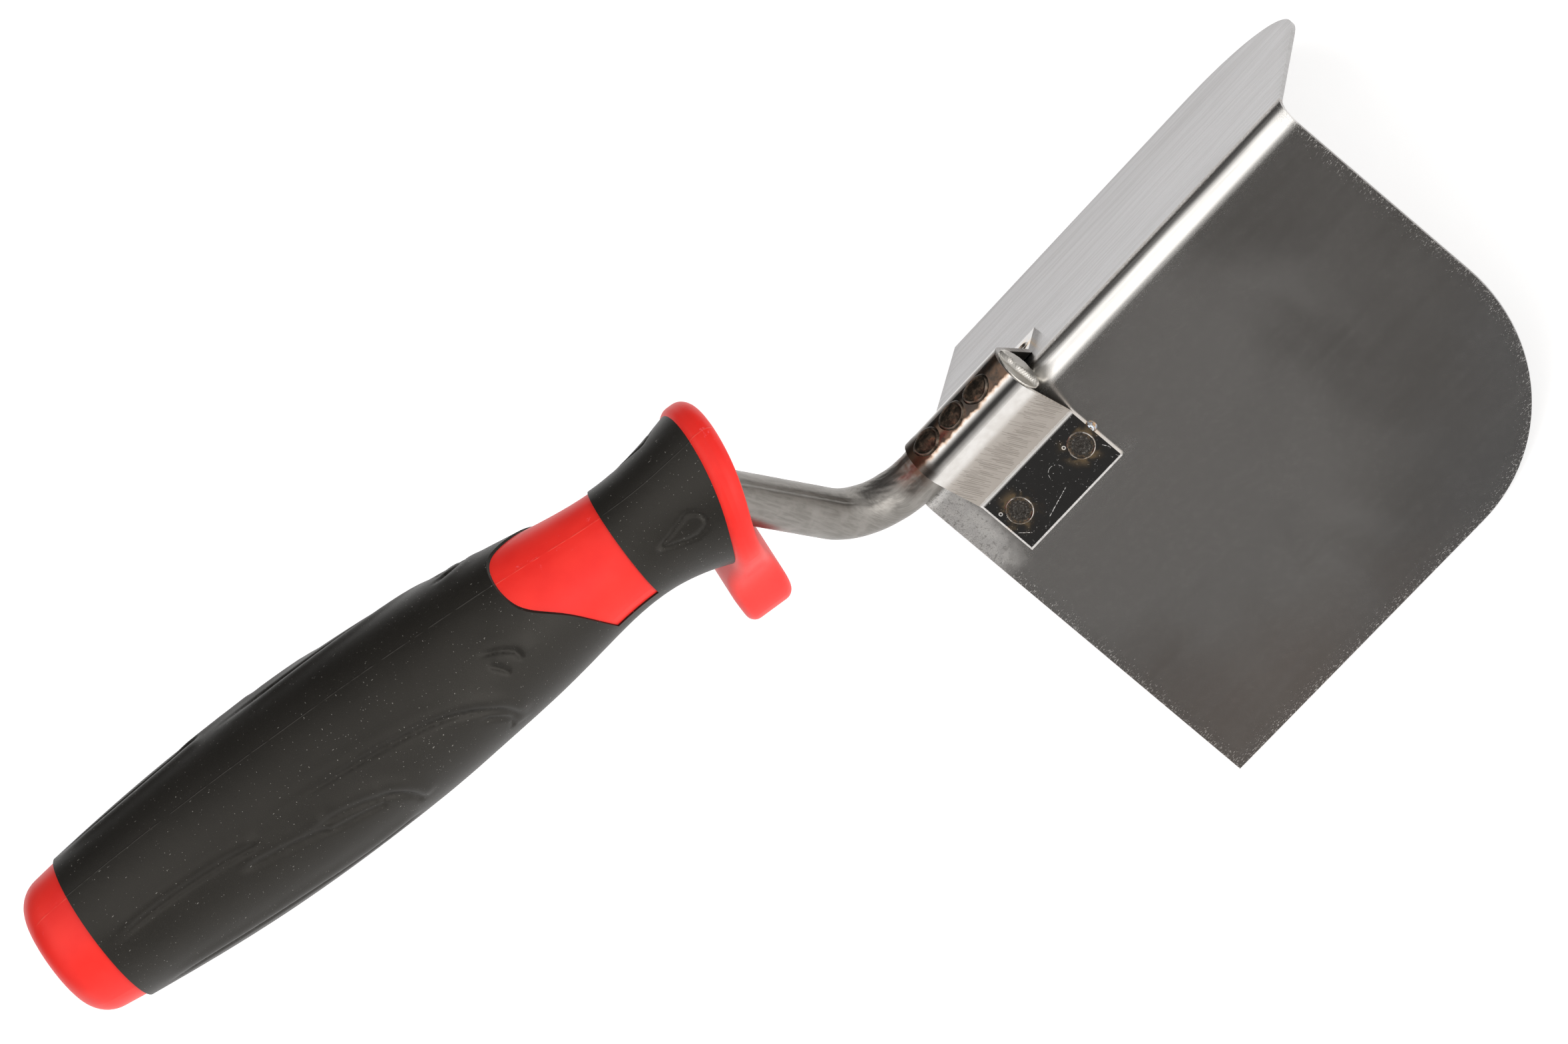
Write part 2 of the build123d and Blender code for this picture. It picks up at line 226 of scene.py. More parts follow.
def make_world():
    """Studio all round the tool: bright front and key side, two strips overhead, one small dark card."""
    world = bpy.data.worlds.new("studio")
    bpy.context.scene.world = world
    s = Shader(world)
    direction = s.node("ShaderNodeTexCoord").outputs["Generated"]
    unit = s.vector_math("NORMALIZE", {0: direction})
    height = s.split(unit)[2]

    def off(target):
        """Degrees between the direction and a target direction."""
        aim = tuple(Vector(target).normalized())
        product = s.node("ShaderNodeVectorMath", {0: unit, 1: aim}, operation="DOT_PRODUCT")
        cosine = s.math("MINIMUM", product.outputs["Value"], 0.99999)
        return s.times(s.math("ARCCOSINE", cosine), math.degrees(1))

    def lobe(target, end, full, strength):
        """Soft round light: full strength up to one angle from its target, none past the other."""
        return s.times(s.step(off(target), end, full), strength)

    horizon = s.times(s.step(s.math("ABSOLUTE", height), 0.10, 0.36), 0.09)
    front = lobe((0.20, -0.85, 0.35), 105, 40, 0.85)
    room = s.add(0.05, horizon, front)
    from_card = off((-0.29, -0.80, 0.52))
    card = s.add(0.05, s.times(s.step(from_card, 5, 18), 0.40), s.times(s.step(from_card, 17, 32), 0.55))
    strips = s.add(lobe((-0.30, 0.52, 0.80), 20, 9, 0.9), lobe((-0.30, -0.08, 0.95), 38, 20, 0.9))
    key = lobe((0.50, -0.78, 0.28), 34, 12, 1.9)
    level = s.add(s.times(room, card), strips, key)
    seen = s.node("ShaderNodeLightPath").outputs["Is Camera Ray"]
    inputs = {"Color": (1.0, 0.99, 0.98), "Strength": s.blend(seen, level, 1.0)}
    background = s.node("ShaderNodeBackground", inputs)
    s.node("ShaderNodeOutputWorld", {"Surface": background.outputs[0]})


def make_floor():
    """Plain pale floor under the tool."""
    mesh = bpy.data.meshes.new("floor")
    reach, z = FLOOR_REACH, CAD_BOX[0][2] - FLOOR_DROP
    corners = [(-reach, -reach, z), (reach, -reach, z), (reach, reach, z), (-reach, reach, z)]
    mesh.from_pydata(corners, [], [(0, 1, 2, 3)])
    floor = bpy.data.objects.new("floor", mesh)
    bpy.context.scene.collection.objects.link(floor)
    material = bpy.data.materials.new("pale_floor")
    s = Shader(material)
    s.surface(
        Base_Color=(0.80, 0.80, 0.80), Roughness=0.9,
        Emission_Color=(1.0, 1.0, 1.0), Emission_Strength=0.58,
    )
    mesh.materials.append(material)


# ---------------------------------------------------------------- mesh helpers
MERGE_DISTANCE = 2e-6                # corners of the CAD mesh closer than this are one corner
TOUCHING_DISTANCE = 1e-7             # the same for corners that a subdivision adds
SKIN_FACING = 0.35                   # cosine from the handle's radius, above which a face is outer skin
SHARP_ANGLE = math.radians(33)
SUBDIVISION_ROUNDS = 9


def remeshed(node, name, voxel, steps):
    """Detailed copy of a CAD node: even quads with softly rounded edges."""
    piece = bpy.data.objects.new(name, NODES[node].data.copy())
    bpy.context.scene.collection.objects.link(piece)
    remesh = piece.modifiers.new("remesh", "REMESH")
    remesh.mode = "VOXEL"
    remesh.voxel_size = voxel
    smooth = piece.modifiers.new("smooth", "SMOOTH")
    smooth.factor = 0.5
    smooth.iterations = steps
    bake(piece)
    return piece


def refined(node, name, longest, steps):
    """Detailed copy of a handle node: short edges on its outer skin, sharp edges kept where they are."""
    work = bmesh.new()
    work.from_mesh(NODES[node].data)
    bmesh.ops.remove_doubles(work, verts=work.verts, dist=MERGE_DISTANCE)
    bmesh.ops.dissolve_degenerate(work, edges=work.edges, dist=MERGE_DISTANCE)
    work.normal_update()
    skin = work.faces.layers.int.new("skin")
    for face in work.faces:
        radial = face.calc_center_median() - NECK
        radial -= ALONG * radial.dot(ALONG)
        face[skin] = face.normal.dot(radial.normalized()) > SKIN_FACING
    for edge in work.edges:
        edge.smooth = len(edge.link_faces) == 2 and edge.calc_face_angle(0.0) < SHARP_ANGLE
    for _ in range(SUBDIVISION_ROUNDS):
        long_edges = [edge for edge in skin_edges(work, skin) if edge.calc_length() > longest]
        if not long_edges:
            break
        bmesh.ops.subdivide_edges(work, edges=long_edges, cuts=1)
        bmesh.ops.triangulate(work, faces=[face for face in work.faces if len(face.verts) > 3])
        outer = [face for face in work.faces if face[skin]]
        inner = [edge for edge in skin_edges(work, skin) if edge.smooth]
        bmesh.ops.beautify_fill(work, faces=outer, edges=inner, method="ANGLE")
        drop_repeats(work)
    free = [
        vertex for vertex in work.verts
        if any(face[skin] for face in vertex.link_faces) and all(edge.smooth for edge in vertex.link_edges)
    ]
    for _ in range(steps):
        bmesh.ops.smooth_vert(
            work, verts=free, factor=0.5, use_axis_x=True, use_axis_y=True, use_axis_z=True,
        )
    for face in work.faces:
        face.smooth = True
    work.faces.layers.int.remove(skin)
    mesh = bpy.data.meshes.new(name)
    work.to_mesh(mesh)
    work.free()
    piece = bpy.data.objects.new(name, mesh)
    bpy.context.scene.collection.objects.link(piece)
    return piece


def skin_edges(work, skin):
    """Edges of the outer skin, in the mesh's own order, so that every run gives the same mesh."""
    return [edge for edge in work.edges if any(face[skin] for face in edge.link_faces)]


def drop_repeats(work):
    """Removes stacks of faces that share their corners, and closes any gap that leaves."""
    bmesh.ops.remove_doubles(work, verts=work.verts, dist=TOUCHING_DISTANCE)
    stacks = {}
    for face in work.faces:
        stacks.setdefault(frozenset(face.verts), []).append(face)
    repeats = [face for stack in stacks.values() if len(stack) > 1 for face in stack]
    bmesh.ops.delete(work, geom=repeats, context="FACES")
    bmesh.ops.holes_fill(work, edges=[edge for edge in work.edges if edge.is_boundary], sides=4)


def bake(piece):
    """Applies a piece's modifiers."""
    evaluated = piece.evaluated_get(bpy.context.evaluated_depsgraph_get())
    mesh = bpy.data.meshes.new_from_object(evaluated)
    mesh.name = piece.name
    piece.modifiers.clear()
    piece.data = mesh
    mesh.polygons.foreach_set("use_smooth", [True] * len(mesh.polygons))


def read_points(mesh):
    points = np.empty(len(mesh.vertices) * 3)
    mesh.vertices.foreach_get("co", points)
    normals = np.empty(len(mesh.vertices) * 3)
    mesh.vertex_normals.foreach_get("vector", normals)
    return points.reshape(-1, 3), normals.reshape(-1, 3)


def write_points(mesh, points):
    mesh.vertices.foreach_set("co", points.ravel())
    mesh.update()


def step(value, low, high):
    """Smooth step from 0 at low to 1 at high."""
    t = np.clip((value - low) / (high - low), 0, 1)
    return t * t * (3 - 2 * t)


def wobble(points, scale, seed=0.0):
    """Smooth noise between -1 and 1 at each point."""
    shift = Vector((seed, seed * 1.7, seed * 0.6))
    return np.array([noise.noise(Vector(point) * scale + shift) for point in points])


def adopt(piece, nodes, material):
    """Puts a piece in place of CAD nodes."""
    piece.data.materials.clear()
    piece.data.materials.append(material)
    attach(piece, "root")
    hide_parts(*nodes)


def dress(node, material):
    """Gives a CAD node its material."""
    piece = NODES[node]
    piece.data.materials.clear()
    piece.data.materials.append(material)


def round_edges(node, width):
    """Fine bevel that lets the sheet's cut edges catch the light."""
    bevel = NODES[node].modifiers.new("edge", "BEVEL")
    bevel.width = width
    bevel.segments = 2
    bevel.limit_method = "ANGLE"
    bevel.angle_limit = math.radians(40)
    bevel.harden_normals = False


# ---------------------------------------------------------------- materials
# Places on the steel, in millimetres along the fold from the heel and along a flange from the corner.
TOE_X = 80.0
FLANGE_EDGE = 63.5
TOE_RADIUS = 27.0
STRAP_MIDDLE = 15.5
WING_EDGE = 18.4
SPOT_WELDS = ((8.9, 13.0), (22.6, 13.0))
WING_STROKES = (((16.2, 15.6), (11.0, 16.9)), ((24.6, 14.9), (25.3, 16.2)), ((6.2, 15.2), (7.6, 16.6)))
WING_BEADS = ((6.6, 11.4), (20.6, 11.4))
WING_DENT = (17.0, 13.2)

# Dust on the grip: squash of its cells, cells in a millimetre, size of a speck.
DUST_KINDS = (
    ((1.0, 1.0, 1.0), 0.90, 0.11),
    ((1.0, 1.0, 1.0), 1.90, 0.17),
    ((0.22, 1.0, 0.6), 1.60, 0.13),
    ((0.9, 0.28, 1.0), 1.90, 0.14),
)


def flange_run(s, y, z):
    """Millimetres along a flange from the fold's corner."""
    return s.times(s.math("SUBTRACT", s.math("ABSOLUTE", y), z), math.sqrt(0.5))


def flange_height(s, y, z):
    """Millimetres off a flange's outer face."""
    return s.times(s.math("ADD", s.math("ABSOLUTE", y), z), math.sqrt(0.5))


def scratches(s, where, angle, density, length, thin):
    """Sparse fine lines at an angle: 1 on a line, 0 elsewhere."""
    inputs = {"Vector": where, "Angle": angle}
    turned = s.node("ShaderNodeVectorRotate", inputs, rotation_type="Z_AXIS").outputs[0]
    x, y, z = s.split(turned)
    across = s.add(s.times(y, density), s.times(s.noise(turned, 0.12, 1.0), density * 2.0))
    sheet = s.vector(s.times(x, 1 / length), across, s.times(z, density))
    return s.band(s.noise(sheet, 1.0, 2.0, 0.6), 0.62, 0.62 + thin, 0.012)


def blade_steel():
    """Polished stainless sheet: scuffed along its edges and beside the strap, faintly streaked, with painted
    shade towards the flanges' edges and a painted highlight along the fold.
    """
    material = bpy.data.materials.new("blade_steel")
    s = Shader(material)
    where, x, y, z = s.place()
    along = flange_run(s, y, z)
    hair = s.noise(s.vector(s.times(x, 2.2), s.times(along, 6.0), s.times(y, 6.0)), 1.0, 3.0, 0.7)
    streak = s.noise(s.vector(s.times(x, 0.05), s.times(y, 0.55), s.times(along, 0.55)), 1.0, 4.0, 0.6, 0.3)
    speck = s.noise(where, 7.5, 3.0, 0.7)
    patchy = s.noise(where, 0.45, 4.0, 0.65)
    stain = s.noise(where, 0.045, 2.0, 0.5, 0.4)

    # Wear along the free edges, along the fold and beside the strap.
    corner_x = s.math("MAXIMUM", s.math("SUBTRACT", x, TOE_X - TOE_RADIUS), 0.0)
    corner_v = s.math("MAXIMUM", s.math("SUBTRACT", along, FLANGE_EDGE - TOE_RADIUS), 0.0)
    from_toe = s.math("SUBTRACT", TOE_RADIUS, s.length(corner_x, corner_v))
    from_edge = s.math("MINIMUM", from_toe, x)
    rare = s.add(0.56, s.times(from_edge, 0.045))
    edge_wear = s.times(s.step(hair, rare, s.add(rare, 0.08)), s.step(from_edge, 5.5, 0.5))
    edge_dirt = s.times(s.step(speck, 0.52, 0.40), s.step(from_edge, 2.6, 0.2))
    fold_rare = s.add(0.50, s.times(s.math("SUBTRACT", along, 3.2), 0.07))
    fold_wear = s.times(s.step(speck, fold_rare, s.add(fold_rare, 0.08)), s.band(along, 3.4, 6.0, 0.9), 0.4)
    from_strap = s.math("ABSOLUTE", s.math("SUBTRACT", x, STRAP_MIDDLE))
    beside_strap = s.times(
        s.step(from_strap, 15.5, 10.0), s.band(along, 17.0, 19.0, 1.2), s.step(speck, 0.54, 0.66), 0.4,
    )
    lines = s.largest(scratches(s, where, 0.5, 2.2, 6.0, 0.008), scratches(s, where, 1.9, 1.6, 9.0, 0.006))
    wear = s.largest(edge_wear, fold_wear, beside_strap, s.times(lines, 0.10))

    # Pale scuffs with dark blotches at the heel.
    heel = s.add(s.times(s.step(x, 9.0, 1.5), s.step(along, 26.0, 8.0)), s.times(s.centred(patchy), 0.5))
    heel_scuff = s.times(s.step(heel, 0.15, 0.75), s.step(x, 10.0, 5.0))
    scuff_tone = s.mix(s.step(patchy, 0.40, 0.62), (0.68, 0.67, 0.66), (0.84, 0.83, 0.80))
    blotch = s.largest(s.step(speck, 0.45, 0.37), s.step(s.noise(where, 1.6, 3.0, 0.7), 0.44, 0.36))

    # Broad tints, which are painted shade: darker towards the flanges' outer edges and over the whole +Y
    # flange; then the fold's bright round, a painted highlight, with its dark side; then streaks, scuffs and
    # wear.
    # Painted shade: the -Y flange darker away from its middle.
    out = s.length(s.math("SUBTRACT", x, 24.0), s.math("SUBTRACT", along, 20.0))
    out = s.add(s.step(out, 12.0, 58.0), s.times(s.centred(stain), 1.7))
    shade = s.times(s.step(out, 0.0, 1.0), s.step(y, 0.0, -2.0))
    # Painted shade: warm and cool darkening towards the flanges' outer edges.
    warm_edge_shade = s.step(s.add(along, s.times(x, -0.5), s.times(stain, 30.0)), 46.0, 70.0)
    cool_edge_shade = s.step(s.add(along, s.times(x, 0.5), s.times(stain, -30.0)), 52.0, 74.0)
    dark_side = s.times(s.band(y, 1.25, 2.75, 0.30), s.step(along, 4.3, 3.9), s.step(hair, 0.30, 0.52))
    streaked = s.times(s.step(streak, 0.38, 0.64), s.blend(s.step(y, -1.0, 1.0), 0.16, 0.70))
    tone = s.coats(
        s.mix(shade, (0.545, 0.522, 0.498), (0.355, 0.337, 0.318)),
        (s.times(warm_edge_shade, 0.55), (0.43, 0.365, 0.325)),
        (s.times(cool_edge_shade, 0.40), (0.34, 0.345, 0.355)),
        # Painted shade: the whole +Y flange darker.
        (s.step(y, 0.0, 2.0), (0.455, 0.448, 0.443)),
        # Painted highlight: the fold's round much lighter.
        (s.step(along, 4.4, 3.2), (0.82, 0.80, 0.77)),
        (s.times(dark_side, 0.85), (0.25, 0.215, 0.185)),
        (streaked, (0.36, 0.35, 0.34)),
        (s.times(heel_scuff, 0.50), scuff_tone),
        (s.times(heel_scuff, blotch, 0.55), (0.19, 0.175, 0.16)),
        (s.times(wear, 0.50), (0.90, 0.88, 0.85)),
        (s.times(edge_dirt, 0.40), (0.16, 0.15, 0.14)),
    )
    rough = s.add(0.235, s.times(streak, 0.03), s.times(wear, 0.18), s.times(heel_scuff, 0.16))
    from_bow = s.math("SUBTRACT", along, 26.0)
    bow = s.times(from_bow, from_bow, 0.0006)
    wave = s.add(s.times(s.noise(where, 0.022, 1.0, 0.4), 1.1), bow)
    grain = s.times(s.noise(where, 9.0, 2.0, 0.7), 0.0016)
    relief = s.add(wave, grain, s.times(lines, -0.002), s.times(wear, 0.003))
    s.surface(
        Base_Color=tone, Metallic=1.0, Roughness=rough, Normal=s.bump(relief),
        Specular_Tint=(0.78, 0.78, 0.79),
    )
    return material


def raked(s, x, along):
    """Fine dark cross strokes on the strap's web, each with its own start, length and depth."""
    strokes = []
    for pitch, slant, low in ((0.20, -0.30, 2.0), (0.31, -0.27, 2.8)):
        across = s.times(s.add(x, s.times(along, slant)), 1 / pitch)
        seat = s.vector(s.math("FLOOR", across), pitch, 0.0)
        one, two, three = s.split(s.node("ShaderNodeTexWhiteNoise", {"Vector": seat}).outputs["Color"])
        patch = s.noise(s.vector(s.times(x, 0.45), slant, 0.0), 1.0, 2.0, 0.6)
        begin = s.add(low, s.times(one, 2.4))
        end = s.math("MINIMUM", s.add(begin, 0.8, s.times(two, 3.8)), s.add(6.6, three))
        inside = s.times(s.step(along, begin, s.add(begin, 0.2)), s.step(along, s.add(end, 0.3), end))
        width = s.band(s.math("FRACT", across), 0.30, 0.70, 0.18)
        shown = s.step(s.add(three, s.times(patch, 0.9)), 0.50, 0.85)
        strokes.append(s.times(inside, width, shown))
    return s.largest(*strokes)


def stroke(s, x, along, start, end, width):
    """Single straight scratch between two places on the wing."""
    run_x, run_v = end[0] - start[0], end[1] - start[1]
    length = math.hypot(run_x, run_v)
    rel_x, rel_v = s.math("SUBTRACT", x, start[0]), s.math("SUBTRACT", along, start[1])
    on = s.add(s.times(rel_x, run_x / length), s.times(rel_v, run_v / length))
    off = s.math("ABSOLUTE", s.add(s.times(rel_x, run_v / length), s.times(rel_v, -run_x / length)))
    return s.times(s.band(on, 0.0, length, 0.2), s.step(off, width, width * 0.4))


def reach_from(s, x, along, centre):
    """Millimetres from a place on the wing."""
    return s.length(s.math("SUBTRACT", x, centre[0]), s.math("SUBTRACT", along, centre[1]))


def ring(s, x, along, centre, radius, width):
    """Ring about a place on the wing."""
    return s.band(reach_from(s, x, along, centre), radius - width, radius + width, width)


def wing_marks(s, where, x, along):
    """Scratches, flecks, a dent and two beads on the strap's mirror wings."""
    speck = s.noise(where, 3.4, 3.0, 0.7)
    lines = s.largest(scratches(s, where, 0.9, 2.0, 2.2, 0.012), scratches(s, where, 2.6, 1.6, 3.5, 0.010))
    dent = s.times(ring(s, x, along, WING_DENT, 1.25, 0.045), s.step(along, 13.6, 13.0))
    marks = [
        s.times(lines, s.step(speck, 0.59, 0.68), 0.8),
        s.times(s.step(speck, 0.775, 0.80), 0.7),
        s.times(dent, s.step(speck, 0.46, 0.58), 0.6),
    ]
    for start, end in WING_STROKES:
        marks.append(s.times(stroke(s, x, along, start, end, 0.06), s.step(speck, 0.44, 0.56), 0.7))
    for centre in WING_BEADS:
        marks.append(s.times(ring(s, x, along, centre, 0.24, 0.07), 0.8))
    return s.largest(*marks)


def strap_steel():
    """Bright strap: mirror wings, cross-raked webs, and heat tint beside the welds; painted highlights along
    the crease and the wings' edges, painted glare on the webs and painted shade on the +Y side.
    """
    material = bpy.data.materials.new("strap_steel")
    s = Shader(material)
    where, x, y, z = s.place()
    along, height = flange_run(s, y, z), flange_height(s, y, z)
    speck = s.noise(where, 5.0, 3.0, 0.7)
    stain = s.noise(where, 0.55, 3.0, 0.6)

    # The wing, the web above it and the crease between them, with a painted highlight along the crease.
    ragged = s.noise(s.vector(s.times(x, 1.6), 0.0, 0.0), 1.0, 3.0, 0.7)
    seam = s.add(along, s.times(s.centred(ragged), 0.5))
    wing = s.times(s.step(seam, 8.30, 8.48), s.step(height, 1.6, 1.2))
    web = s.times(s.math("SUBTRACT", 1.0, wing), s.step(z, 2.6, 1.0))
    # Painted glare: the web lighter near the fold, darker further out.
    web_glare_tone = s.mix(s.step(along, 1.0, 4.6), (0.43, 0.395, 0.360), (0.345, 0.310, 0.275))
    rake = s.times(raked(s, x, along), web)
    crease = s.times(s.band(seam, 8.18, 8.36, 0.08), s.step(height, 2.2, 1.4))
    outline = s.largest(s.step(along, WING_EDGE - 0.36, WING_EDGE - 0.24), s.step(x, 5.84, 5.70))
    # Painted highlight: a broken bright line along the wings' outer edges.
    wing_edge_highlight = s.times(outline, s.blend(s.noise(where, 1.2, 2.0, 0.6), 0.35, 1.15), wing)
    # Scratches, flecks, a dent and beads, together with the painted edge highlight.
    marks = s.times(s.largest(wing_marks(s, where, x, along), wing_edge_highlight), wing)

    # Heat tint: burnt crown with an amber border, dark heel, straw halos about the spot welds.
    drift = s.times(s.centred(s.noise(where, 0.7, 2.0, 0.45)), 1.3)
    over = s.add(y, drift)
    burnt = s.times(s.step(z, 4.6, 6.0), s.step(over, -2.15, -1.85), s.step(over, 4.6, 3.4))
    burnt_tone = s.mix(s.step(stain, 0.42, 0.62), (0.026, 0.018, 0.012), (0.085, 0.045, 0.024))
    amber = s.times(s.step(z, 4.2, 5.6), s.band(over, -2.25, -1.8, 0.25))
    heel_tint = s.times(s.step(s.add(x, drift), 8.6, 6.4), s.step(z, 3.4, 4.6), s.step(y, -4.6, -3.2))
    halos = []
    for centre in SPOT_WELDS:
        cloud = s.noise(s.vector(x, along, centre[0]), 0.45, 2.0)
        halos.append(s.times(s.step(reach_from(s, x, along, centre), 4.2, 2.2), s.step(cloud, 0.42, 0.62)))
    halo = s.times(s.largest(*halos), wing)

    tone = s.coats(
        s.mix(s.step(stain, 0.3, 0.7), (0.63, 0.605, 0.575), (0.70, 0.68, 0.655)),
        (s.times(web, 0.90), web_glare_tone),
        # Painted shade: the +Y side darker.
        (s.times(s.step(y, 3.0, 6.0), 0.6), (0.40, 0.385, 0.365)),
        (s.times(amber, 0.65), (0.42, 0.22, 0.10)),
        (s.times(burnt, 0.95), burnt_tone),
        (s.times(heel_tint, 0.90), (0.050, 0.032, 0.021)),
        (s.times(wing, 0.65), (0.42, 0.41, 0.40)),
        (s.times(halo, 0.80), (0.62, 0.42, 0.20)),
        (s.times(rake, 0.72), (0.215, 0.195, 0.170)),
        # Scratches and flecks, with painted highlights along the wings' edges and the crease.
        (s.largest(s.times(marks, 0.75), s.times(crease, 0.4)), (0.96, 0.95, 0.93)),
    )
    rough = s.add(
        0.11, s.times(web, 0.26), s.times(wing, -0.055), s.times(marks, 0.5), s.times(crease, 0.2),
        s.times(wing_edge_highlight, 0.25), s.times(burnt, 0.10), s.times(heel_tint, 0.15), s.times(speck, 0.03),
        s.times(halo, 0.16),
    )
    grain = s.times(s.noise(where, 8.0, 2.0, 0.7), 0.0010)
    wave = s.times(s.noise(where, 0.35, 2.0, 0.5), 0.012)
    relief = s.add(grain, wave, s.times(rake, -0.012), s.times(marks, 0.010), s.times(crease, speck, 0.06))
    s.surface(Base_Color=tone, Metallic=1.0, Roughness=rough, Normal=s.bump(relief))
    return material


def spot_metal():
    """Pressed disc: dark mirror with fine rings, straw film and a thin broken bright rim."""
    material = bpy.data.materials.new("spot_weld_metal")
    s = Shader(material)
    where, x, y, z = s.place()
    heel, toe = SPOT_WELDS
    from_middle = s.math("ABSOLUTE", s.math("SUBTRACT", x, (heel[0] + toe[0]) / 2))
    off_x = s.math("SUBTRACT", from_middle, (toe[0] - heel[0]) / 2)
    reach = s.length(off_x, s.math("SUBTRACT", flange_run(s, y, z), heel[1]))
    rings = s.math("SINE", s.times(reach, 11.0))
    speck = s.noise(where, 3.0, 3.0, 0.7)
    arc = s.step(s.noise(where, 0.55, 2.0, 0.6), 0.49, 0.58)
    rim = s.times(s.band(reach, 1.98, 2.06, 0.05), arc, 0.8)
    inner = s.times(s.band(reach, 1.20, 1.34, 0.10), s.step(speck, 0.50, 0.62))
    straw = s.times(s.band(reach, 1.5, 2.0, 0.3), s.step(speck, 0.5, 0.6))
    tone = s.coats(
        s.mix(s.step(speck, 0.35, 0.7), (0.17, 0.150, 0.13), (0.30, 0.28, 0.255)),
        (s.times(straw, 0.6), (0.42, 0.26, 0.12)),
        (s.largest(rim, s.times(inner, 0.5)), (0.93, 0.91, 0.87)),
    )
    rough = s.add(0.12, s.times(speck, 0.10), s.times(rim, 0.25))
    relief = s.add(s.times(rings, 0.006), s.times(speck, 0.035))
    s.surface(Base_Color=tone, Metallic=1.0, Roughness=rough, Normal=s.bump(relief))
    return material


def weld_metal():
    """Oxidised weld puddle: near black, with brown and amber films and a painted highlight along its raised
    lip.
    """
    material = bpy.data.materials.new("weld_metal")
    s = Shader(material)
    where = s.place()[0]
    patchy = s.noise(where, 1.1, 3.0, 0.6)
    fine = s.noise(where, 6.0, 3.0, 0.7)
    lip = s.node("ShaderNodeAttribute", attribute_name="lip").outputs["Fac"]
    tone = s.coats(
        s.mix(s.step(patchy, 0.38, 0.62), (0.022, 0.018, 0.014), (0.075, 0.055, 0.040)),
        (s.step(patchy, 0.60, 0.72), (0.16, 0.085, 0.050)),
        # Painted highlight along the raised lip.
        (s.times(lip, 0.40), (0.50, 0.42, 0.35)),
    )
    rough = s.add(0.20, s.times(fine, 0.22))
    relief = s.add(s.times(fine, 0.035), s.times(patchy, 0.10))
    s.surface(Base_Color=tone, Metallic=1.0, Roughness=rough, Normal=s.bump(relief))
    return material


def tack_metal():
    """Small bright bead with a blue and straw film."""
    material = bpy.data.materials.new("tack_metal")
    s = Shader(material)
    patchy = s.noise(s.place()[0], 1.6, 2.0, 0.5)
    tone = s.mix(s.step(patchy, 0.38, 0.55), (0.62, 0.42, 0.24), (0.42, 0.50, 0.62))
    tone = s.mix(s.step(patchy, 0.56, 0.68), tone, (0.80, 0.79, 0.77))
    s.surface(Base_Color=tone, Metallic=1.0, Roughness=0.20, Normal=s.bump(s.times(patchy, 0.30)))
    return material


def shank_steel():
    """Satin drawn rod: fine draw lines, brown heat tint near the strap and a bare torn end."""
    material = bpy.data.materials.new("shank_steel")
    s = Shader(material)
    where, x, y, z = s.place()
    level = s.step(x, -5.0, 1.0)
    run = s.blend(level, z, x)
    around = s.blend(level, x, z)
    draw = s.noise(s.vector(s.times(run, 0.22), s.times(y, 2.2), s.times(around, 2.2)), 1.0, 3.0, 0.6)
    fine = s.noise(where, 7.0, 3.0, 0.7)
    patchy = s.noise(where, 0.30, 3.0, 0.6)
    heat = s.times(s.step(x, 0.5, 4.8), s.step(z, 2.5, 6.0), s.step(patchy, 0.30, 0.50))
    pits = s.step(fine, 0.66, 0.74)
    tone = s.coats(
        s.mix(s.step(draw, 0.35, 0.65), (0.205, 0.194, 0.178), (0.265, 0.252, 0.233)),
        (s.step(patchy, 0.45, 0.75), (0.29, 0.275, 0.255)),
        (s.times(heat, 0.85), (0.12, 0.060, 0.035)),
        (s.step(x, 24.2, 25.0), (0.62, 0.595, 0.55)),
        (s.times(pits, 0.35), (0.20, 0.185, 0.165)),
    )
    rough = s.add(0.31, s.times(draw, 0.06), s.times(fine, 0.06))
    relief = s.add(s.times(draw, 0.006), s.times(fine, 0.004), s.times(pits, -0.006))
    s.surface(Base_Color=tone, Metallic=1.0, Roughness=rough, Normal=s.bump(relief))
    return material


def parting_line(s, across, where):
    """Thin line that the mould leaves along the top and bottom of the handle."""
    drift = s.times(s.centred(s.noise(where, 0.12, 1.0)), 0.10)
    broken = s.step(s.noise(where, 0.35, 2.0, 0.6), 0.36, 0.56)
    return s.times(s.step(s.math("ABSOLUTE", s.add(across, drift)), 0.13, 0.03), broken)


